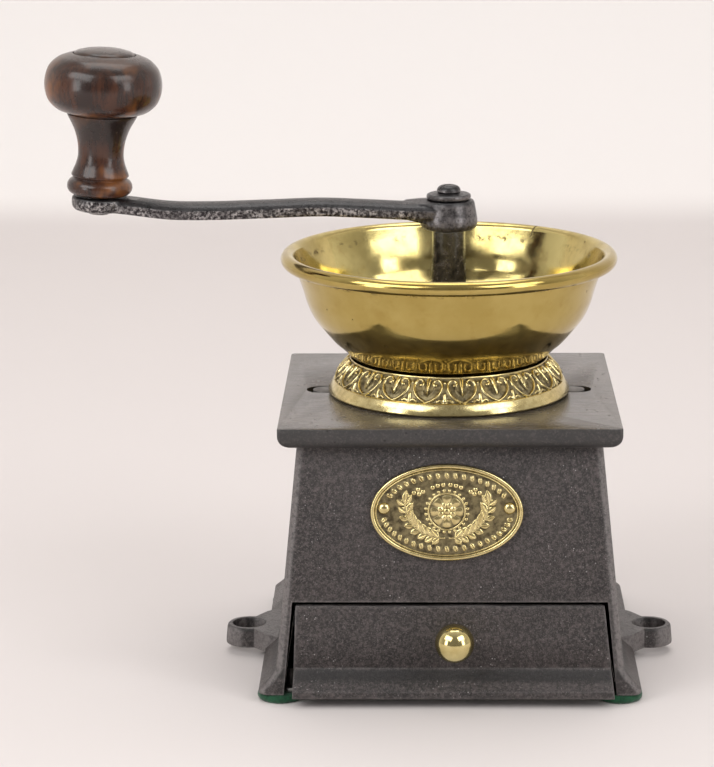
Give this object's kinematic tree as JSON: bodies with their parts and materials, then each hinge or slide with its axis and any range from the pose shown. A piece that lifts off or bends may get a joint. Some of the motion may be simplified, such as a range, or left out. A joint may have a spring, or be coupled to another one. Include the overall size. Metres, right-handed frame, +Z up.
{
  "type": "antique box coffee grinder mill",
  "caption": "Cast iron box coffee mill with a brass hopper, a hand crank with a turned wooden grip, a conical burr inside and a pull-out drawer.",
  "frame": {"origin": "on the spindle's axis, level with the underside of the base plate; the felt pads reach 3 mm below it", "axes": "+Z up along the spindle, -Y out of the drawer's front, the crank arm points along -X at rest"},
  "size_m": [0.2158, 0.1363, 0.2135],
  "materials": {
    "black_iron": "black japanned cast iron, fine sand grain, worn satin",
    "worn_iron": "bare worn iron, finely pitted and streaked",
    "crank_iron": "dark iron, lightly pitted, semi-gloss",
    "burr_iron": "bare grey iron, oily",
    "steel": "old darkened steel",
    "tinplate": "dull tinned sheet",
    "bronze": "plain bearing bronze",
    "hopper_brass": "polished spun brass with light tarnish",
    "aged_brass": "stamped brass, polished high spots and dark recesses",
    "dark_walnut": "turned hardwood, dark polish worn to orange-brown",
    "green_felt": "pressed wool felt"
  },
  "bodies": {
    "case": {"body_casting": "black_iron", "base_plate": "tinplate", "base_plate_screw_front_left": "steel", "base_plate_screw_back_left": "steel", "base_plate_screw_front_right": "steel", "base_plate_screw_back_right": "steel", "felt_pad_front_left": "green_felt", "felt_pad_back_left": "green_felt", "felt_pad_front_right": "green_felt", "felt_pad_back_right": "green_felt", "top_plate": "worn_iron", "top_plate_screw_front_left": "steel", "top_plate_screw_back_left": "steel", "top_plate_screw_front_right": "steel", "top_plate_screw_back_right": "steel", "grinding_shell": "burr_iron", "bottom_bridge": "burr_iron", "shell_screw_left": "steel", "shell_screw_right": "steel", "bridge_screw_left": "steel", "bridge_screw_right": "steel", "adjusting_locknut": "steel", "hopper_bowl": "hopper_brass", "hopper_foot_ring": "aged_brass", "hopper_screw_front": "steel", "hopper_screw_back": "steel", "badge_plate": "aged_brass", "badge_rivet_left": "aged_brass", "badge_rivet_right": "aged_brass"},
    "footstep": {"footstep_pad": "bronze"},
    "adjuster": {"adjusting_screw": "steel"},
    "crank": {"spindle": "crank_iron", "grinding_cone": "burr_iron", "cone_pin": "steel", "crank_arm": "crank_iron", "crank_washer": "crank_iron", "crank_screw": "steel", "knob_pin": "steel"},
    "grip": {"knob_grip": "dark_walnut", "knob_plug": "dark_walnut"},
    "drawer": {"drawer_front": "black_iron", "drawer_tray": "tinplate", "drawer_knob": "hopper_brass", "drawer_knob_nut": "steel", "tray_screw_left": "steel", "tray_screw_right": "steel"}
  },
  "joints": [
    {"name": "grind_gap", "type": "slide", "parent": "case", "child": "footstep", "axis": [0, 0, 1], "range_m": [-0.0005, 0.0005]},
    {"name": "adjust_turn", "type": "hinge", "parent": "footstep", "child": "adjuster", "pos_m": [0, 0, 0.0293], "axis": [0, 0, 1], "range_deg": [-180, 180]},
    {"name": "crank_turn", "type": "hinge", "parent": "footstep", "child": "crank", "pos_m": [0, 0, 0.0467], "axis": [0, 0, 1], "continuous": true},
    {"name": "knob_spin", "type": "hinge", "parent": "crank", "child": "grip", "pos_m": [-0.1195, 0, 0.16], "axis": [0.061, 0, 0.9981], "continuous": true},
    {"name": "drawer_slide", "type": "slide", "parent": "case", "child": "drawer", "axis": [0, -1, 0], "range_m": [0, 0.085]}
  ],
  "couplings": [
    {"joint": "adjust_turn", "follows": "grind_gap", "rad_per_m": 6283}
  ]
}
